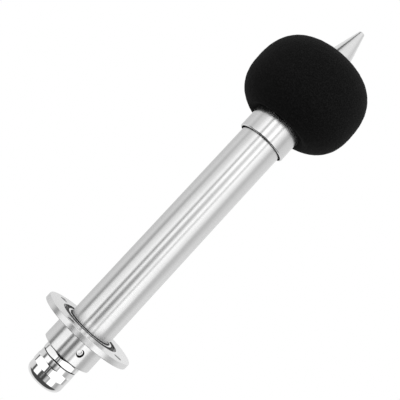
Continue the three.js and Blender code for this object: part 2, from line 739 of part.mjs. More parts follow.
sensor.add(boardCarrier(), mainBoard());
[-tieScrewX, tieScrewX].forEach((x, i) => sensor.add(carrierScrew(i + 1, x)));
boardFixings.forEach(([x, z], i) => sensor.add(boardSpacer(i + 1, x, z), boardScrew(i + 1, x, z)));
sensor.add(
  onBoard('microcontroller', 12, 1.6, 12, 0, 108, chipPlastic()),
  onBoard('codec_chip', 8, 1.4, 8, 0, 130, chipPlastic()),
  onBoard('transceiver_chip', 6, 1.5, 5, -1, 58, chipPlastic()),
  onBoard('power_module', 12, 7, 14, 2, 84, chipPlastic()),
  onBoard('signal_socket', 6, 5.6, 6, 0, 144.6, polymer()),
  capacitor(1, -6, 96),
  capacitor(2, 6, 68),
  terminalHeader(),
  terminalPlug(),
  signalLead(),
);

export default sensor;
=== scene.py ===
"""Outdoor sound level sensor: the looks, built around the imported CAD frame.

Blender works in metres. The turned pieces are written in millimetres, as corners (radius, height,
fillet) about the mast's axis, and MM takes them to metres. They follow the CAD's dimensions and add
what the CAD leaves out: fillets, threads, slots and the foam's settled shape.
"""
import math

import bpy
from mathutils import Matrix, Vector, noise


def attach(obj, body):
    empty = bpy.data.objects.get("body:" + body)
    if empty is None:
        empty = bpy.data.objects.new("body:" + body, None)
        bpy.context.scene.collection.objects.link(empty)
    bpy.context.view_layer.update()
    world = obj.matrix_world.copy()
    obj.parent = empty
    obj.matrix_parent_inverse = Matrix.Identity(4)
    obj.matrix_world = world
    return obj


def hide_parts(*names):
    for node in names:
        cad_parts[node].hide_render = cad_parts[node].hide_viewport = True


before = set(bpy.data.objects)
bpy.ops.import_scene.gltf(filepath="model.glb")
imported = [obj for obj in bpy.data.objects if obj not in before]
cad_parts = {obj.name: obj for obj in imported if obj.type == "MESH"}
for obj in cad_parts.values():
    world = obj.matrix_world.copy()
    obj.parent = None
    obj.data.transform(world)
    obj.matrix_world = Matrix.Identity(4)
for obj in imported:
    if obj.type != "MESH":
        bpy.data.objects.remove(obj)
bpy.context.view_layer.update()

MM = 0.001
FINE = 192  # segments round a large turned piece
SMALL = 96  # segments round a small turned piece
SHARP = math.radians(28)  # edges that turn more than this stay sharp


# ------------------------------------------------------------------ camera
def make_camera():
    """Looks along +Y and a little upwards, and leans, so that the mast lies across the picture."""
    data = bpy.data.cameras.new("camera")
    data.sensor_width = 36
    data.lens = 57.15
    data.shift_x = -0.041
    data.shift_y = -0.045
    camera = bpy.data.objects.new("camera", data)
    bpy.context.scene.collection.objects.link(camera)
    forward = Vector((0, 0.9908, 0.1352)).normalized()
    lean = math.radians(42.82)
    level_right = Vector((1, 0, 0))
    level_up = level_right.cross(forward)
    up = level_up * math.cos(lean) - level_right * math.sin(lean)
    right = forward.cross(up)
    rotation = Matrix((right, up, -forward)).transposed()
    place = Vector((-0.004168, -0.42603, 0.0722))
    camera.matrix_world = Matrix.Translation(place) @ rotation.to_4x4()
    bpy.context.scene.camera = camera


make_camera()


# ------------------------------------------------------------------ mesh helpers
def rounded(corners):
    """Replaces each corner (radius, height, fillet) of an outline by an arc of that fillet."""
    steps = 5
    points = []
    count = len(corners)
    for i, corner in enumerate(corners):
        here = Vector(corner[:2])
        fillet = corner[2] if len(corner) > 2 else 0
        if not fillet:
            points.append(here)
            continue
        back = (Vector(corners[i - 1][:2]) - here).normalized()
        ahead = (Vector(corners[(i + 1) % count][:2]) - here).normalized()
        half = back.angle(ahead) / 2
        reach = fillet / math.tan(half)
        centre = here + (back + ahead).normalized() * (fillet / math.sin(half))
        start = here + back * reach - centre
        turn = start.angle_signed(here + ahead * reach - centre)
        for k in range(steps + 1):
            angle = -turn * k / steps
            cos, sin = math.cos(angle), math.sin(angle)
            arm = Vector((start.x * cos - start.y * sin, start.x * sin + start.y * cos))
            points.append(centre + arm)
    return points


def mesh_object(name, verts, faces):
    data = bpy.data.meshes.new(name)
    data.from_pydata(verts, [], faces)
    data.validate()
    piece = bpy.data.objects.new(name, data)
    bpy.context.scene.collection.objects.link(piece)
    return piece


def turned(name, outline, segments):
    """A piece turned about Z. The outline runs anticlockwise in (radius, height): up the outside and
    down the inside. It starts and ends on the axis, or else it closes on itself."""
    points = [Vector(p[:2]) for p in outline]
    on_axis = [p.x < 1e-7 for p in points]
    closed = not on_axis[0]
    verts, rows = [], []
    for point, at_axis in zip(points, on_axis):
        start = len(verts)
        if at_axis:
            verts.append((0, 0, point.y))
            rows.append([start] * segments)
            continue
        for k in range(segments):
            angle = 2 * math.pi * k / segments
            verts.append((point.x * math.cos(angle), point.x * math.sin(angle), point.y))
        rows.append(list(range(start, start + segments)))
    faces = []
    pairs = list(zip(rows, rows[1:]))
    if closed:
        pairs.append((rows[-1], rows[0]))
    for lower, upper in pairs:
        for k in range(segments):
            after = (k + 1) % segments
            loop = [lower[k], lower[after], upper[after], upper[k]]
            corners = list(dict.fromkeys(loop))
            if len(corners) > 2:
                faces.append(corners)
    return mesh_object(name, verts, faces)


def hexagon(flats, turn=0.0, fillet=0.0):
    """Corners of a hexagon that measures flats across, one of them at -90 degrees plus turn. Each
    corner can be rounded to a fillet."""
    steps = 10
    centre = (flats / 2 - fillet) / math.cos(math.radians(30))
    points = []
    for middle in range(-30, 330, 60):
        for k in range(steps + 1 if fillet else 1):
            swing = -30 + 60 * k / steps if fillet else 0
            towards = math.radians(middle + turn)
            facing = math.radians(middle + turn + swing)
            x = centre * math.cos(towards) + fillet * math.cos(facing)
            y = centre * math.sin(towards) + fillet * math.sin(facing)
            points.append((x, y))
    return points


def apply_modifiers(piece):
    """Keeps the mesh as its modifiers leave it, and removes them."""
    graph = bpy.context.evaluated_depsgraph_get()
    final = bpy.data.meshes.new_from_object(piece.evaluated_get(graph))
    piece.modifiers.clear()
    piece.data = final


def combine(piece, tool, operation):
    """Cuts, joins or keeps what is common with the tool, which is then removed."""
    step = piece.modifiers.new("boolean", "BOOLEAN")
    step.operation = operation
    step.solver = "EXACT"
    step.object = tool
    bpy.context.view_layer.update()
    apply_modifiers(piece)
    bpy.data.objects.remove(tool)


def moved(piece, matrix):
    """Moves the mesh itself, so that the object stays at the origin."""
    piece.data.transform(matrix)
    return piece


def second_finish(piece, material, chosen):
    """Gives another material to the faces whose centre and normal, in millimetres, are chosen."""
    piece.data.materials.append(material)
    for face in piece.data.polygons:
        if chosen(face.center / MM, face.normal):
            face.material_index = len(piece.data.materials) - 1


def finish_surface(piece, material, body, nodes, sharp=SHARP):
    """Smooth shading with sharp edges kept, the material, the body it rides on and what it replaces."""
    piece.data.shade_smooth()
    piece.data.set_sharp_from_angle(angle=sharp)
    weighted = piece.modifiers.new("weighted_normals", "WEIGHTED_NORMAL")
    weighted.keep_sharp = True
    piece.data.materials.clear()
    piece.data.materials.append(material)
    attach(piece, body)
    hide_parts(*nodes)


# ------------------------------------------------------------------ studio
def node_tree(owner):
    owner.use_nodes = True
    owner.node_tree.nodes.clear()
    return owner.node_tree.nodes, owner.node_tree.links


def math_node(nodes, links, operation, *values):
    """A sum on numbers and on other nodes' outputs."""
    node = nodes.new("ShaderNodeMath")
    node.operation = operation
    for socket, value in zip(node.inputs, values):
        if isinstance(value, (int, float)):
            socket.default_value = value
        else:
            links.new(value, socket)
    return node.outputs[0]


# How bright the studio is round the sensor, as (degrees from the camera's side towards +X, radiance).
# Each row holds at one height, from under the sensor up to overhead.
UNDER_PANELS = [(-180, 0.85), (-122, 0.85), (-102, 0.07), (102, 0.07), (122, 0.85), (180, 0.85)]
LOW_PANELS = [
    (-180, 0.80), (-112, 0.80), (-94, 0.74), (-88, 0.10), (-77, 0.10), (-73, 1.15), (-64, 1.45),
    (-40, 1.25), (-36, 0.07), (-22, 0.08), (-19, 0.22), (-15, 0.22), (-12, 0.06), (1, 0.06),
    (4, 0.34), (13, 0.60), (18, 0.62), (23, 0.42), (27, 0.45), (31, 1.40), (64, 1.45), (70, 0.52),
    (88, 0.42), (104, 0.70), (125, 0.82), (180, 0.80),
]
MID_PANELS = [
    (-180, 0.66), (-140, 0.65), (-103, 0.80), (-93, 0.60), (-86, 0.36), (-78, 0.42), (-73, 0.80),
    (-64, 1.02), (-48, 1.08), (-39, 1.30), (-35, 0.60), (-30, 0.22), (-26, 0.25), (-21, 1.15),
    (-13, 1.40), (-9, 0.50), (-3, 0.20), (2, 0.20), (6, 0.55), (12, 1.05), (16, 1.45), (20, 1.20),
    (24, 0.66), (28, 0.70), (32, 1.40), (48, 1.22), (60, 1.10), (68, 0.72), (80, 0.60), (92, 0.68),
    (112, 0.84), (180, 0.74),
]
HIGH_PANELS = [
    (-180, 0.84), (-146, 0.64), (-118, 0.70), (-104, 0.78), (-95, 0.74), (-84, 0.62), (-75, 0.76),
    (-60, 0.82), (-38, 1.32), (-34, 1.15), (-30, 0.50), (-27, 0.55), (-23, 1.45), (-12, 1.55),
    (-7, 1.12), (-2, 0.95), (3, 0.98), (8, 1.30), (13, 1.62), (21, 1.45), (26, 0.66), (30, 0.78),
    (34, 1.35), (45, 1.10), (55, 0.90), (66, 0.64), (76, 0.58), (86, 0.70), (97, 0.76), (142, 0.80),
    (180, 0.92),
]
TOP_PANELS = [
    (-180, 1.15), (-110, 0.90), (-94, 0.80), (-88, 0.12), (-68, 0.12), (-61, 0.75), (-30, 0.95),
    (40, 0.95), (75, 0.80), (100, 0.75), (130, 0.90), (180, 1.15),
]
# Each row takes over from the one below it between two elevations in degrees.
TENT_ROWS = [(LOW_PANELS, -28, -21), (MID_PANELS, -14, -11.5), (HIGH_PANELS, -6, 14), (TOP_PANELS, 20, 42)]


def panel_ramp(nodes, links, turn, panels):
    """One row of panels as a ramp over the turn round the sensor, which runs from 0 to 1."""
    ramp = nodes.new("ShaderNodeValToRGB")
    stops = ramp.color_ramp.elements
    stops.remove(stops[-1])
    for i, (degrees, radiance) in enumerate(panels):
        place = degrees / 360 + 0.5
        stop = stops[0] if i == 0 else stops.new(place)
        stop.position = place
        stop.color = (radiance, radiance, radiance, 1)
    links.new(turn, ramp.inputs[0])
    return ramp.outputs[0]


def blend_rows(nodes, links, rise, low, high, first, second):
    """Goes from the first row to the second between two elevations in degrees."""
    span = nodes.new("ShaderNodeMapRange")
    span.interpolation_type = "SMOOTHSTEP"
    span.inputs["From Min"].default_value = math.sin(math.radians(low))
    span.inputs["From Max"].default_value = math.sin(math.radians(high))
    links.new(rise, span.inputs["Value"])
    mix = nodes.new("ShaderNodeMix")
    mix.data_type = "RGBA"
    lower, upper, colour = mix.inputs[6], mix.inputs[7], mix.outputs[2]  # the colour sockets
    links.new(span.outputs[0], mix.inputs["Factor"])
    links.new(first, lower)
    links.new(second, upper)
    return colour


def make_world():
    """A white tent with bright panels and dark gaps between them. The camera sees it as plain white."""
    world = bpy.data.worlds.new("studio")
    bpy.context.scene.world = world
    nodes, links = node_tree(world)
    place = nodes.new("ShaderNodeTexCoord")
    parts = nodes.new("ShaderNodeSeparateXYZ")
    links.new(place.outputs["Generated"], parts.inputs[0])
    x, y, rise = parts.outputs
    toward = math_node(nodes, links, "MULTIPLY", y, -1.0)
    angle = math_node(nodes, links, "ARCTAN2", x, toward)
    turn = math_node(nodes, links, "MULTIPLY_ADD", angle, 1 / (2 * math.pi), 0.5)
    light = panel_ramp(nodes, links, turn, UNDER_PANELS)
    for panels, low, high in TENT_ROWS:
        light = blend_rows(nodes, links, rise, low, high, light, panel_ramp(nodes, links, turn, panels))
    tent = nodes.new("ShaderNodeBackground")
    links.new(light, tent.inputs["Color"])
    backdrop = nodes.new("ShaderNodeBackground")
    backdrop.inputs["Color"].default_value = (1, 1, 1, 1)
    seen = nodes.new("ShaderNodeLightPath")
    chosen = nodes.new("ShaderNodeMixShader")
    links.new(seen.outputs["Is Camera Ray"], chosen.inputs["Fac"])
    links.new(tent.outputs[0], chosen.inputs[1])
    links.new(backdrop.outputs[0], chosen.inputs[2])
    output = nodes.new("ShaderNodeOutputWorld")
    links.new(chosen.outputs[0], output.inputs["Surface"])


make_world()
bpy.context.scene.view_settings.view_transform = "Standard"


# ------------------------------------------------------------------ materials
NOISE_LOW = 0.3  # nearly all of a noise texture lies between these two
NOISE_HIGH = 0.7


def new_material(name, metallic, roughness, specular=0.5):
    """A material with a Principled shader, and what is needed to add to it."""
    material = bpy.data.materials.new(name)
    nodes, links = node_tree(material)
    shader = nodes.new("ShaderNodeBsdfPrincipled")
    shader.inputs["Metallic"].default_value = metallic
    shader.inputs["Roughness"].default_value = roughness
    shader.inputs["Specular IOR Level"].default_value = specular
    output = nodes.new("ShaderNodeOutputMaterial")
    links.new(shader.outputs[0], output.inputs["Surface"])
    return material, nodes, links, shader


def grey(value):
    return (value, value, value, 1)


def object_place(nodes):
    return nodes.new("ShaderNodeTexCoord").outputs["Object"]


def ring_place(nodes, links, across, along):
    """Coordinates that change fast across a turned surface and slowly round it."""
    place = object_place(nodes)
    flat = nodes.new("ShaderNodeVectorMath")
    flat.operation = "MULTIPLY"
    flat.inputs[1].default_value = (1, 1, 0)
    links.new(place, flat.inputs[0])
    length = nodes.new("ShaderNodeVectorMath")
    length.operation = "LENGTH"
    links.new(flat.outputs["Vector"], length.inputs[0])
    parts = nodes.new("ShaderNodeSeparateXYZ")
    links.new(place, parts.inputs[0])
    joined = nodes.new("ShaderNodeCombineXYZ")
    radius = math_node(nodes, links, "MULTIPLY", length.outputs["Value"], across)
    height = math_node(nodes, links, "MULTIPLY", parts.outputs["Z"], across)
    links.new(radius, joined.inputs["X"])
    links.new(height, joined.inputs["Y"])
    # the sine of the angle has no seam, which the angle itself would have
    swing = math_node(nodes, links, "DIVIDE", parts.outputs["X"], length.outputs["Value"])
    links.new(math_node(nodes, links, "MULTIPLY", swing, along), joined.inputs["Z"])
    return joined.outputs[0]


def noise_texture(nodes, links, place, scale, detail):
    texture = nodes.new("ShaderNodeTexNoise")
    texture.inputs["Scale"].default_value = scale
    texture.inputs["Detail"].default_value = detail
    links.new(place, texture.inputs["Vector"])
    return texture.outputs[0]


def spread(nodes, links, value, low, high):
    """Turns a noise value into a number between low and high."""
    node = nodes.new("ShaderNodeMapRange")
    node.inputs["From Min"].default_value = NOISE_LOW
    node.inputs["From Max"].default_value = NOISE_HIGH
    node.inputs["To Min"].default_value = low
    node.inputs["To Max"].default_value = high
    links.new(value, node.inputs["Value"])
    return node.outputs[0]


def tones(nodes, links, value, dark, light, start=NOISE_LOW, end=NOISE_HIGH):
    """Turns a value between start and end into a colour between dark and light."""
    ramp = nodes.new("ShaderNodeValToRGB")
    first, last = ramp.color_ramp.elements
    first.position, last.position = start, end
    first.color, last.color = dark, light
    links.new(value, ramp.inputs[0])
    return ramp.outputs[0]


def bump(nodes, links, shader, height, depth, strength=1.0):
    """Relief as deep as depth, in millimetres."""
    node = nodes.new("ShaderNodeBump")
    node.inputs["Strength"].default_value = strength
    node.inputs["Distance"].default_value = depth * MM
    links.new(height, node.inputs["Height"])
    links.new(node.outputs[0], shader.inputs["Normal"])


def turned_steel(name, tone, roughness, anisotropy, line_depth, line_scale):
    """Stainless steel with fine lathe or belt lines round the axis, and faint handling marks."""
    material, nodes, links, shader = new_material(name, 1.0, roughness)
    place = ring_place(nodes, links, across=line_scale, along=1.3)
    lines = noise_texture(nodes, links, place, scale=1.0, detail=1.0)
    marks = noise_texture(nodes, links, object_place(nodes), scale=55, detail=3.0)
    links.new(tones(nodes, links, lines, grey(tone * 0.965), grey(tone)), shader.inputs["Base Color"])
    rough = spread(nodes, links, marks, roughness * 0.9, roughness * 1.14)
    links.new(rough, shader.inputs["Roughness"])
    shader.inputs["Anisotropic"].default_value = anisotropy
    round_axis = nodes.new("ShaderNodeTangent")
    round_axis.direction_type = "RADIAL"
    round_axis.axis = "Z"
    links.new(round_axis.outputs[0], shader.inputs["Tangent"])
    shader.inputs["Anisotropic Rotation"].default_value = 0.25
    bump(nodes, links, shader, lines, line_depth)
    return material


def polished_metal(name, tone, roughness):
    """Plated metal with a soft wave left by polishing."""
    material, nodes, links, shader = new_material(name, 1.0, roughness)
    wave = noise_texture(nodes, links, object_place(nodes), scale=160, detail=1.0)
    haze = noise_texture(nodes, links, object_place(nodes), scale=900, detail=2.0)
    links.new(tones(nodes, links, haze, grey(tone * 0.97), grey(tone)), shader.inputs["Base Color"])
    links.new(spread(nodes, links, haze, roughness * 0.8, roughness * 1.4), shader.inputs["Roughness"])
    bump(nodes, links, shader, wave, depth=0.01)
    return material


def moulded(name, dark, light, roughness, grain_scale, grain_depth):
    """Plastic or rubber with a fine moulded grain."""
    material, nodes, links, shader = new_material(name, 0.0, roughness)
    grain = noise_texture(nodes, links, object_place(nodes), scale=grain_scale, detail=3.0)
    patch = noise_texture(nodes, links, object_place(nodes), scale=90, detail=2.0)
    links.new(tones(nodes, links, grain, dark, light), shader.inputs["Base Color"])
    links.new(spread(nodes, links, patch, roughness * 0.88, roughness * 1.1), shader.inputs["Roughness"])
    bump(nodes, links, shader, grain, grain_depth)
    return material


def foam_material():
    """Open-cell foam: small dark pores between slightly lighter struts."""
    material, nodes, links, shader = new_material("foam", 0.0, 1.0, 0.05)
    place = object_place(nodes)
    pores = nodes.new("ShaderNodeTexVoronoi")
    pores.feature = "F1"
    pores.inputs["Scale"].default_value = 1150
    links.new(place, pores.inputs["Vector"])
    fibre = noise_texture(nodes, links, place, scale=2400, detail=2.0)
    depth = math_node(nodes, links, "MULTIPLY", pores.outputs["Distance"], fibre)
    colour = tones(nodes, links, depth, grey(0.0045), grey(0.0145), start=0.08, end=0.45)
    links.new(colour, shader.inputs["Base Color"])
    shader.inputs["Sheen Weight"].default_value = 0.03
    bump(nodes, links, shader, depth, depth=0.35, strength=0.8)
    return material


def circuit_board_material():
    """Green solder resist with copper tracks that show through as lighter lines."""
    material, nodes, links, shader = new_material("circuit_board", 0.0, 0.35)
    place = object_place(nodes)
    tracks = nodes.new("ShaderNodeTexBrick")
    tracks.inputs["Scale"].default_value = 260
    tracks.inputs["Mortar Size"].default_value = 0.05
    tracks.inputs["Color1"].default_value = (0.012, 0.10, 0.035, 1)
    tracks.inputs["Color2"].default_value = (0.016, 0.13, 0.045, 1)
    tracks.inputs["Mortar"].default_value = (0.03, 0.22, 0.08, 1)
    turn = nodes.new("ShaderNodeMapping")
    turn.inputs["Rotation"].default_value = (math.pi / 2, 0, 0)
    links.new(place, turn.inputs["Vector"])
    links.new(turn.outputs[0], tracks.inputs["Vector"])
    links.new(tracks.outputs["Color"], shader.inputs["Base Color"])
    bump(nodes, links, shader, tracks.outputs["Fac"], depth=0.03, strength=0.6)
    return material


# name: (tone, roughness, anisotropy, depth of the turning lines in millimetres, their scale)
TURNED_STEELS = {
    "tube_steel": (0.80, 0.24, 0.75, 0.0012, 2600),
    "satin_steel": (0.79, 0.20, 0.65, 0.0025, 1800),
    "rim_steel": (0.82, 0.27, 0.6, 0.0025, 1800),
}
# name: (tone, roughness)
POLISHED_METALS = {
    "nickel_plate": (0.86, 0.07),
    "screw_steel": (0.40, 0.30),
    "screw_face": (0.78, 0.22),
    "aluminium_sheet": (0.66, 0.34),
    "capacitor_can": (0.45, 0.28),
    "gold_contact": (0.7, 0.22),
}
# name: (dark colour, light colour, roughness, scale of the grain, its depth in millimetres)
MOULDED_SURFACES = {
    # A near-black colour painted on the set screws' hole walls and the collar's relief as painted shade,
    # where shade falls in them.
    "recess_painted_shade": (grey(0.004), grey(0.008), 0.6, 1500, 0.01),
    "rubber": (grey(0.006), grey(0.014), 0.55, 1500, 0.02),
    "nylon": (grey(0.016), grey(0.026), 0.45, 1200, 0.015),
    "polymer": ((0.60, 0.57, 0.50, 1), (0.70, 0.67, 0.60, 1), 0.42, 900, 0.01),
    "chip_plastic": (grey(0.012), grey(0.02), 0.5, 3000, 0.01),
    "terminal_plastic": ((0.02, 0.2, 0.07, 1), (0.03, 0.26, 0.09, 1), 0.42, 900, 0.01),
}
MATERIALS = {"foam": foam_material(), "circuit_board": circuit_board_material()}
for name, look in TURNED_STEELS.items():
    MATERIALS[name] = turned_steel(name, *look)
for name, look in POLISHED_METALS.items():
    MATERIALS[name] = polished_metal(name, *look)
for name, look in MOULDED_SURFACES.items():
    MATERIALS[name] = moulded(name, *look)
SATIN = MATERIALS["satin_steel"]


# ------------------------------------------------------------------ shape helpers in millimetres
def lathe(name, corners, segments=FINE):
    """A turned piece from corners (radius, height, fillet)."""
    return turned(name, rounded([[value * MM for value in corner] for corner in corners]), segments)


def rod(name, radius, low, high, fillet=0, segments=FINE):
    """A round bar, or the drill that makes a round hole."""
    return lathe(name, [(0, low), (radius, low, fillet), (radius, high, fillet), (0, high)], segments)


def ring(name, inner, outer, low, high, fillet, segments=FINE):
    """A flat ring whose outer edges are rounded."""
    corners = [(inner, low), (outer, low, fillet), (outer, high, fillet), (inner, high)]
    return lathe(name, corners, segments)


def torus(name, inner, section, z):
    """A round-section rubber ring that fits over an inner radius."""
    steps = 24
    centre = inner + section
    angles = [2 * math.pi * k / steps for k in range(steps)]
    return lathe(name, [(centre + section * math.cos(a), z + section * math.sin(a)) for a in angles])


def prism(name, outline, low, high):
    """A straight prism over a list of (x, y) corners that runs anticlockwise."""
    count = len(outline)
    verts = [(x * MM, y * MM, z * MM) for z in (low, high) for x, y in outline]
    sides = [[k, (k + 1) % count, count + (k + 1) % count, count + k] for k in range(count)]
    return mesh_object(name, verts, [list(range(count))[::-1], list(range(count, 2 * count))] + sides)


def block(name, size, centre, angle=0.0):
    """A box that is turned about Z by an angle in degrees afterwards."""
    half = [value / 2 for value in size]
    outline = [(-half[0], -half[1]), (half[0], -half[1]), (half[0], half[1]), (-half[0], half[1])]
    corners = [(x + centre[0], y + centre[1]) for x, y in outline]
    piece = prism(name, corners, centre[2] - half[2], centre[2] + half[2])
    return moved(piece, Matrix.Rotation(math.radians(angle), 4, "Z"))


def placed(piece, angle, reach):
    """Moves a piece out along +X by a reach, then turns it about Z by degrees."""
    out = Matrix.Translation((reach * MM, 0, 0))
    return moved(piece, Matrix.Rotation(math.radians(angle), 4, "Z") @ out)


def laid_out(piece, angle, z):
    """Lays a piece modelled along +Z down, to point out from the axis at an angle in degrees."""
    turn = Matrix.Rotation(math.radians(angle), 4, "Z") @ Matrix.Rotation(math.pi / 2, 4, "Y")
    return moved(piece, Matrix.Translation((0, 0, z * MM)) @ turn)


def thread_rows(radius, low, high, pitch):
    """Outline points up a threaded length, close enough to show the thread."""
    rows_per_turn = 8
    count = math.ceil((high - low) / pitch * rows_per_turn)
    return [(radius, low + (high - low) * k / count) for k in range(count + 1)]


def cut_thread(piece, radius, low, high, pitch, depth):
    """Sinks a helical groove into the rows that thread_rows made. It fades in at both ends."""
    near = 0.01
    steepness = 2.4  # how soon the flanks reach the full depth
    for vertex in piece.data.vertices:
        x, y, z = vertex.co / MM
        reach = math.hypot(x, y)
        if abs(reach - radius) > near or not low - near <= z <= high + near:
            continue
        phase = (z / pitch - math.atan2(y, x) / (2 * math.pi)) % 1
        fade = min(1, (z - low) / pitch, (high - z) / pitch)
        wanted = radius - depth * fade * min(1, steepness * abs(phase - 0.5))
        vertex.co.x *= wanted / reach
        vertex.co.y *= wanted / reach
    return piece


# ------------------------------------------------------------------ the mast
SCREW_ANGLES = (-70, 50, 170)
SCREW_Z = -8.9
SCREW_HOLE = 2.5  # radius of a set screw's hole
BOLT_ANGLES = (65, 155, 245, 335)
BOLT_REACH = 28
CABLE_WAY = 10.15  # radius of the opening in the hub's floor


def in_screw_hole(place, normal):
    """Whether a face is part of the wall of a set screw's hole."""
    inside, outside = 13, 18
    for angle in SCREW_ANGLES:
        towards = Vector((math.cos(math.radians(angle)), math.sin(math.radians(angle)), 0))
        depth = place.dot(towards)
        aside = place - Vector((0, 0, SCREW_Z)) - towards * depth
        near = inside < depth < outside and aside.length < SCREW_HOLE + 0.1
        if near and abs(normal.dot(towards)) < 0.2:
            return True
    return False


def cut_screw_holes(piece):
    """Drills the set screws' holes, with a small countersink at the hub's surface."""
    start, end, countersink = 12, 21, 2.9
    for angle in SCREW_ANGLES:
        hole = lathe("hole", [
            (0, start), (SCREW_HOLE, start), (SCREW_HOLE, 18.3), (countersink, 18.7),
            (countersink, end), (0, end),
        ], SMALL)
        combine(piece, laid_out(hole, angle, SCREW_Z), "DIFFERENCE")


def make_flange():
    """The plate and hub in one piece, with the face seal's groove and a chamfered bore."""
    plate, top, hub, foot = 34.5, 4, 18.5, -17.5
    groove, groove_floor = 22.8, 1.2
    bore, bore_floor, chamfer = 16.3, -12.1, 0.6
    flange = lathe("flange", [
        (CABLE_WAY, foot), (hub, foot, 0.4), (hub, 0, 0.2), (plate, 0, 0.35), (plate, top, 0.35),
        (groove, top, 0.12), (groove, groove_floor), (hub, groove_floor), (hub, top, 0.12),
        (bore + chamfer, top), (bore, top - chamfer), (bore, bore_floor), (CABLE_WAY, bore_floor),
    ])
    radius, mouth, bevel = 2.75, 3.0, 0.25
    for angle in BOLT_ANGLES:
        hole = lathe("hole", [
            (0, -1), (mouth, -1), (mouth, 0), (radius, bevel), (radius, top - bevel),
            (mouth, top), (mouth, top + 1), (0, top + 1),
        ], SMALL)
        combine(flange, placed(hole, angle, BOLT_REACH), "DIFFERENCE")
    cut_screw_holes(flange)
    finish_surface(flange, SATIN, "mast", ["mounting_flange"])

    def on_rim(place, normal):
        return place.xy.length > plate - 0.5 and abs(normal.z) < 0.9

    second_finish(flange, MATERIALS["rim_steel"], on_rim)
    # The set screws' hole walls get a near-black colour as painted shade.
    second_finish(flange, MATERIALS["recess_painted_shade"], in_screw_hole)


def make_tube():
    """Threaded at the top for the collar, and cross-drilled at the foot for the set screws."""
    bore, foot, top, bevel = 14, -12, 188, 0.3
    radius, low, high, pitch = 16, 178, 187.4, 1.5
    rows = thread_rows(radius, low, high, pitch)
    tube = lathe("tube", [(bore, foot), (radius, foot, bevel)] + rows + [(radius, top, bevel), (bore, top)])
    cut_thread(tube, radius, low, high, pitch, depth=0.5)
    cut_screw_holes(tube)
    finish_surface(tube, MATERIALS["tube_steel"], "mast", ["main_tube"])
    # The set screws' hole walls get a near-black colour as painted shade.
    second_finish(tube, MATERIALS["recess_painted_shade"], in_screw_hole)


def make_set_screw(number, angle):
    """A short grub screw with a hexagon socket."""
    inner, outer = 14.3, 16.6
    radius, low, high, pitch = 2.2, inner + 0.8, outer - 0.3, 0.8
    rows = thread_rows(radius, low, high, pitch)
    screw = lathe("set_screw", [(0, inner), (1.5, inner)] + rows + [(1.9, outer), (0, outer)], SMALL)
    cut_thread(screw, radius, low, high, pitch, depth=0.3)
    socket_flats, socket_depth = 2.5, 1.2
    socket = prism("socket", hexagon(socket_flats), outer - socket_depth, outer + 1)
    combine(screw, socket, "DIFFERENCE")
    screw.name = f"set_screw_{number}"
    laid_out(screw, angle, SCREW_Z)
    node = f"hub_set_screw_{number}"
    finish_surface(screw, MATERIALS["screw_face"], screw.name, [node])


def make_seals():
    """The rubber rings and the gasket that stay on the mast."""
    rings = {
        "flange_o_ring": torus("face_o_ring", inner=18.8, section=1.25, z=2.45),
        "tube_foot_o_ring": torus("foot_o_ring", inner=16.2, section=0.3, z=4.1),
        "gland_gasket": ring("gasket", CABLE_WAY, 13.3, low=-18.9, high=-17.6, fillet=0.2),
        "gland_o_ring": ring("nut_seal", 10.3, 13.2, low=-23.6, high=-23.2, fillet=0.15),
    }
    for node, seal in rings.items():
        finish_surface(seal, MATERIALS["rubber"], "mast", [node])


make_flange()
make_tube()
for number, angle in enumerate(SCREW_ANGLES, 1):
    make_set_screw(number, angle)
make_seals()


# ------------------------------------------------------------------ cable gland
HEX_FLATS = 26.8
HEX_FILLET = 6
HEX_TURN = -4.5  # in degrees
HEX_CORNER = 14.55  # reach of the rounded corners, where the end chamfers start
HEX_RIM = 13.45  # reach of the end faces
HEX_BEVEL = 0.63  # height of an end chamfer
GLAND_PITCH = 1.5
GLAND_THREAD_DEPTH = 0.55
GLAND_MOUTH = 6.6  # radius of the cable's opening
NUT_TIP_Z = -41


def hex_prism(low, high):
    """A length of the hexagon that the gland's body and dome nut share."""
    return prism("hexagon", hexagon(HEX_FLATS, HEX_TURN, HEX_FILLET), low, high)


def make_gland_body():
    """The lower hexagon, with a thread above it for the hub and one below it for the dome nut."""
    top, bottom, overlap, relief = -19, -23.1, 1, 0.6
    body = lathe("gland_body", [
        (0, bottom), (HEX_RIM, bottom), (HEX_CORNER, bottom + HEX_BEVEL),
        (HEX_CORNER, top - HEX_BEVEL), (HEX_RIM, top), (0, top),
    ])
    combine(body, hex_prism(bottom - overlap, top + overlap), "INTERSECT")
    neck, end = 9.3, -9.5
    thread = (9.85, top + relief, end - 0.3, GLAND_PITCH)
    start = [(0, top - overlap), (neck, top - overlap), (neck, top + relief)]
    upper = lathe("upper", start + thread_rows(*thread) + [(neck, end), (0, end)])
    combine(body, cut_thread(upper, *thread, GLAND_THREAD_DEPTH), "UNION")
    neck, end = 9.5, -31
    thread = (10, end + 0.3, bottom - relief, GLAND_PITCH)
    finish = [(neck, bottom - relief), (neck, bottom + overlap), (0, bottom + overlap)]
    lower = lathe("lower", [(0, end), (9.6, end)] + thread_rows(*thread) + finish)
    combine(body, cut_thread(lower, *thread, GLAND_THREAD_DEPTH), "UNION")
    claw_room, step_z = 9, -24.6
    bore = lathe("bore", [
        (0, end - 1), (claw_room, end - 1), (claw_room, step_z), (GLAND_MOUTH, step_z),
        (GLAND_MOUTH, -8), (0, -8),
    ])
    combine(body, bore, "DIFFERENCE")
    finish_surface(body, MATERIALS["nickel_plate"], "mast", ["gland_body"])


def dome_outline():
    """From the mouth's rim up the rounded dome to the round band under the hexagon."""
    tip, round_z = 8.65, -36.2
    steps = 20
    points = []
    for k in range(steps + 1):
        angle = math.pi / 2 * k / steps
        radius = tip + (HEX_RIM - tip) * math.sin(angle)
        points.append((radius, round_z - (round_z - NUT_TIP_Z) * math.cos(angle)))
    return points


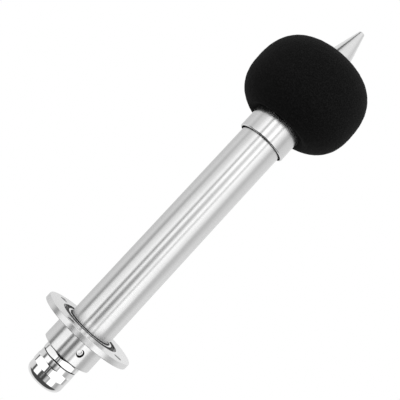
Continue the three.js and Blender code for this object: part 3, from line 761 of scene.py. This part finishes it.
def make_dome_nut():
    """A turned dome with a hexagon cut into its middle, and a cone inside that closes the claw."""
    top, hex_top, hex_bottom = -23.7, -27.15, -32.6
    bore, cone_top, cone_bottom = 10.3, -34.2, -40.2
    nut = lathe("dome_nut", [(GLAND_MOUTH, NUT_TIP_Z, 0.2)] + dome_outline() + [
        (HEX_RIM, hex_bottom), (HEX_CORNER, hex_bottom + HEX_BEVEL), (HEX_CORNER, hex_top - HEX_BEVEL),
        (HEX_RIM, hex_top), (HEX_RIM, top, 0.3), (bore + 0.3, top), (bore, top - 0.3),
        (bore, cone_top), (GLAND_MOUTH, cone_bottom),
    ])
    waste = rod("waste", 15, hex_bottom, hex_top)
    combine(waste, hex_prism(hex_bottom - 1, hex_top + 1), "DIFFERENCE")
    combine(nut, waste, "DIFFERENCE")
    finish_surface(nut, MATERIALS["nickel_plate"], "dome_nut", ["gland_dome_nut"])


def make_clamp():
    """The rubber sleeve round the cable and the slotted claw that squeezes it."""
    seal = lathe("cable_seal", [(5.2, -37.4, 0.3), (5.9, -37.4, 0.2), (7, -33.5), (7, -25.4), (5.2, -25.4)])
    finish_surface(seal, MATERIALS["rubber"], "gland_clamp", ["gland_seal"])
    claw = lathe("clamp_claw", [
        (6.4, -38.5), (7.3, -38.5, 0.2), (8.7, -34), (8.7, -32.1), (9.9, -32.1, 0.2), (9.9, -31.1, 0.2),
        (8.7, -31.1), (8.7, -24.9, 0.2), (7.3, -24.9), (7.3, -33.6),
    ])
    for angle in (0, 60, 120):
        slot = block("slot", size=(24, 1.2, 5), centre=(0, 0, -37), angle=angle)
        combine(claw, slot, "DIFFERENCE")
    finish_surface(claw, MATERIALS["nylon"], "gland_clamp", ["gland_claw"])


make_gland_body()
make_dome_nut()
make_clamp()


# ------------------------------------------------------------------ head
POST_ANGLES = (90, 210, 330)
POST_REACH = 13.8
POST_FOOT_Z = 195.9
POST_TOP_Z = 233.5


def cut_post_holes(piece, low, high):
    """Drills the three holes that the posts' ends sit in."""
    for angle in POST_ANGLES:
        hole = rod("hole", 1.8, low, high, segments=32)
        combine(piece, placed(hole, angle, POST_REACH), "DIFFERENCE")


def make_collar():
    """The relief under its lower edge makes the dark line between collar and tube; the relief's faces are
    also painted near-black as painted shade.
    """
    radius, foot, top = 18.5, 170.9, 200
    relief, relief_top = 17.3, 173.9
    thread, thread_top = 16.3, 191.2
    room, ceiling, opening = 14.2, 195, 8.8
    collar = lathe("collar", [
        (relief, foot, 0.15), (radius, foot, 0.9), (radius, top, 0.5), (opening, top, 0.2),
        (opening, ceiling), (room, ceiling), (room, thread_top), (thread, thread_top),
        (thread, relief_top), (relief, relief_top),
    ])
    cut_post_holes(collar, POST_FOOT_Z - 0.1, top + 1)
    finish_surface(collar, SATIN, "collar", ["head_collar"])

    def in_relief(place, normal):
        return place.z < relief_top + 0.3 and place.xy.length < relief + 0.1

    # The relief's faces get a near-black colour as painted shade, darkening the line under the collar.
    second_finish(collar, MATERIALS["recess_painted_shade"], in_relief)


def make_cage():
    """Three posts that hold the spike's seat above the microphone, and the washer on the seat."""
    for number, angle in enumerate(POST_ANGLES, 1):
        post = placed(rod(f"post_{number}", 1.5, POST_FOOT_Z, POST_TOP_Z, 0.3, 48), angle, POST_REACH)
        finish_surface(post, SATIN, "collar", [f"cage_post_{number}"])
    seat_z, shank_hole = 230.1, 3.1
    seat = ring("spike_seat_plate", shank_hole, 16.2, seat_z, seat_z + 6, fillet=0.5)
    cut_post_holes(seat, seat_z - 1.1, POST_TOP_Z + 0.1)
    finish_surface(seat, SATIN, "collar", ["spike_seat"])
    washer = ring("washer", shank_hole, 9.3, low=236.2, high=237, fillet=0.2, segments=SMALL)
    finish_surface(washer, MATERIALS["nylon"], "spike_washer", ["spike_washer"])


def make_spike():
    """A turned cone on a short round base, with a threaded shank under it."""
    shank_z, base_z, cone_z, tip_z = 229.1, 237.1, 249.8, 278.9
    base, tip = 9.9, 2.3
    radius, low, high, pitch = 2.8, shank_z + 0.5, base_z - 0.5, 1
    rows = thread_rows(radius, low, high, pitch)
    spike = lathe("spike", [(0, shank_z), (radius - 0.5, shank_z)] + rows + [
        (radius, base_z), (base, base_z, 0.4), (base, cone_z, 0.3), (tip, tip_z, 0.7), (0, tip_z),
    ])
    cut_thread(spike, radius, low, high, pitch, depth=0.4)
    finish_surface(spike, SATIN, "spike", ["bird_spike"])


def make_holder():
    """The insulating plug that holds the microphone, with its seal in a groove and its circlip."""
    holder = lathe("holder", [
        (5.2, 178), (13.7, 178, 0.3), (13.7, 182, 0.1), (12.3, 182), (12.3, 184), (13.7, 184, 0.1),
        (13.7, 188.1), (15.8, 188.1, 0.3), (15.8, 191.1, 0.3), (13.9, 191.1), (13.9, 194.9, 0.3),
        (8.5, 194.9), (8.5, 200.2), (7.8, 200.2), (7.8, 201.6), (8.5, 201.6), (8.5, 203, 0.4),
        (6.65, 203, 0.2), (6.65, 198.3), (5.2, 198.3),
    ])
    screw_x, screw_y = 6.5, 8.4  # where the board carrier's two screws go in
    for x in (-screw_x, screw_x):
        hole = rod("hole", 1.7, low=177, high=181.5, segments=48)
        combine(holder, moved(hole, Matrix.Translation((x * MM, screw_y * MM, 0))), "DIFFERENCE")
    finish_surface(holder, MATERIALS["polymer"], "microphone_unit", ["microphone_holder"])
    seal = torus("holder_seal", inner=12.45, section=0.65, z=183)
    finish_surface(seal, MATERIALS["rubber"], "microphone_unit", ["holder_o_ring"])
    clip = ring("circlip", 8, 10.4, low=200.35, high=201.35, fillet=0.1)
    combine(clip, block("mouth", size=(4, 4, 3), centre=(0, -9, 200.85)), "DIFFERENCE")
    finish_surface(clip, MATERIALS["screw_steel"], "microphone_unit", ["holder_circlip"])


def make_microphone():
    """The preamplifier's and capsule's housings, and the grid with six slots in its face."""
    preamp = lathe("preamp", [
        (5.75, 198.4), (6.35, 198.4), (6.35, 211.6), (6.2, 211.7), (6.2, 212), (6.35, 212.1),
        (6.35, 213.1, 0.15), (5.75, 213.1),
    ])
    capsule = lathe("capsule", [(6, 213.2), (6.6, 213.2, 0.2), (6.6, 221.5, 0.1), (6, 221.5)])
    grid = lathe("grid", [(0, 225.1), (6, 225.1), (6, 221.9), (6.6, 221.9), (6.6, 226, 0.7), (0, 226)])
    for angle in range(0, 360, 60):
        slot = block("slot", size=(3.6, 0.9, 3), centre=(3.2, 0, 226), angle=angle)
        combine(grid, slot, "DIFFERENCE")
    pieces = {"preamp_housing": preamp, "capsule_housing": capsule, "protection_grid": grid}
    for node, piece in pieces.items():
        finish_surface(piece, SATIN, "microphone_unit", [node])


make_collar()
make_cage()
make_spike()
make_holder()
make_microphone()


# ------------------------------------------------------------------ foam windscreen
FOAM_RADIUS = 42.7
FOAM_CENTRE_Z = 215.9
FOAM_BORE = 18.8
FOAM_CEILING_Z = 236.8  # the top of the bore
FOAM_FOOT = (32.35, 2 / 2.6, 2 / 2.58)  # height, and how round the outline is across and up
FOAM_TOP = (33.6, 2 / 3.3, 2 / 2.33)
FOAM_TOP_HOLE = 10.3


def foam_outline(steps):
    """A flattened ball with squarer shoulders, from beside the lip up to the top hole."""
    lip_radius, rim_radius = 26, FOAM_TOP_HOLE + 0.6
    start = -math.acos((lip_radius / FOAM_RADIUS) ** (1 / FOAM_FOOT[1]))
    end = math.acos((rim_radius / FOAM_RADIUS) ** (1 / FOAM_TOP[1]))
    points = []
    for k in range(steps + 1):
        angle = start + (end - start) * k / steps
        height, width_power, height_power = FOAM_FOOT if angle < 0 else FOAM_TOP
        rise = math.copysign(abs(math.sin(angle)) ** height_power, angle)
        points.append((FOAM_RADIUS * math.cos(angle) ** width_power, FOAM_CENTRE_Z + height * rise))
    return points


def foam_lip(steps):
    """From the bore's mouth, down over the rounded lip, to just short of the outline's start."""
    mouth, low, end = Vector((FOAM_BORE + 0.2, 190.6)), Vector((21.8, 187.1)), Vector((25.8, 187.3))
    points = []
    for k in range(steps):
        share = k / steps
        first = mouth.lerp(low, share)
        points.append(tuple(first.lerp(low.lerp(end, share), share)))
    return points


def settle_foam(point):
    """The soft ball sits a little to one side and leans, while its bore stays round the collar."""
    lean, shift, pivot_z = -0.0214, 1.12 * MM, 183 * MM
    near_bore, give = FOAM_BORE + 0.3, 7
    reach = math.hypot(point.x, point.y) / MM
    if reach < near_bore and point.z < (FOAM_CEILING_Z + 0.3) * MM:
        return point
    near_mouth = point.z < FOAM_CENTRE_Z * MM
    share = min(1, max(0, (reach - near_bore) / give)) if near_mouth else 1
    height = point.z - pivot_z
    moved_by = Vector((height * math.sin(lean) + shift, 0, -point.x * math.sin(lean)))
    return point + moved_by * share


def make_foam():
    """The ball with its bore and top hole. Its skin is dimpled by two sizes of noise."""
    steps, segments = ((200, 320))
    lip_steps, bore_steps, hole_steps = 14, 40, 16
    skin = foam_lip(lip_steps) + foam_outline(steps)
    mouth_z, top_z = skin[0][1], skin[-1][1]
    hole_top = top_z - 0.6
    outline = [(FOAM_BORE, mouth_z + 0.2)] + skin + [(FOAM_TOP_HOLE + 0.15, top_z - 0.1)]
    for k in range(hole_steps + 1):
        outline.append((FOAM_TOP_HOLE, hole_top - (hole_top - FOAM_CEILING_Z) * k / hole_steps))
    for k in range(bore_steps + 1):
        outline.append((FOAM_BORE, FOAM_CEILING_Z - (FOAM_CEILING_Z - mouth_z - 0.7) * k / bore_steps))
    foam = lathe("foam_ball", outline, segments)
    normals = [vertex.normal.copy() for vertex in foam.data.vertices]
    for vertex, normal in zip(foam.data.vertices, normals):
        fine = 0.13 * noise.noise(vertex.co * 900)
        coarse = 0.10 * noise.noise(vertex.co * 260)
        vertex.co = settle_foam(vertex.co + normal * (fine + coarse) * MM)
    finish_surface(foam, MATERIALS["foam"], "windscreen", ["windscreen_ball"], math.pi)


make_foam()


# ------------------------------------------------------------------ pieces that keep their CAD shape
CAD_FINISHES = {
    "polymer": ["preamp_insulator", "capsule_insulator", "signal_socket"],
    "gold_contact": ["preamp_contact", "capsule_backplate"] + [f"board_spacer_{k}" for k in range(1, 5)],
    "circuit_board": ["preamp_board", "main_board"],
    "chip_plastic": ["preamp_chip", "microcontroller", "codec_chip", "transceiver_chip", "power_module"],
    "satin_steel": ["capsule_diaphragm"],
    "aluminium_sheet": ["board_carrier"],
    "screw_steel": ["carrier_screw_1", "carrier_screw_2"] + [f"board_screw_{k}" for k in range(1, 5)],
    "capacitor_can": ["capacitor_1", "capacitor_2"],
    "terminal_plastic": ["terminal_header", "terminal_plug"],
    "rubber": ["signal_lead"],
}
for finish, nodes in CAD_FINISHES.items():
    for node in nodes:
        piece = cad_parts[node]
        piece.data.materials.clear()
        piece.data.materials.append(MATERIALS[finish])

bpy.context.view_layer.update()
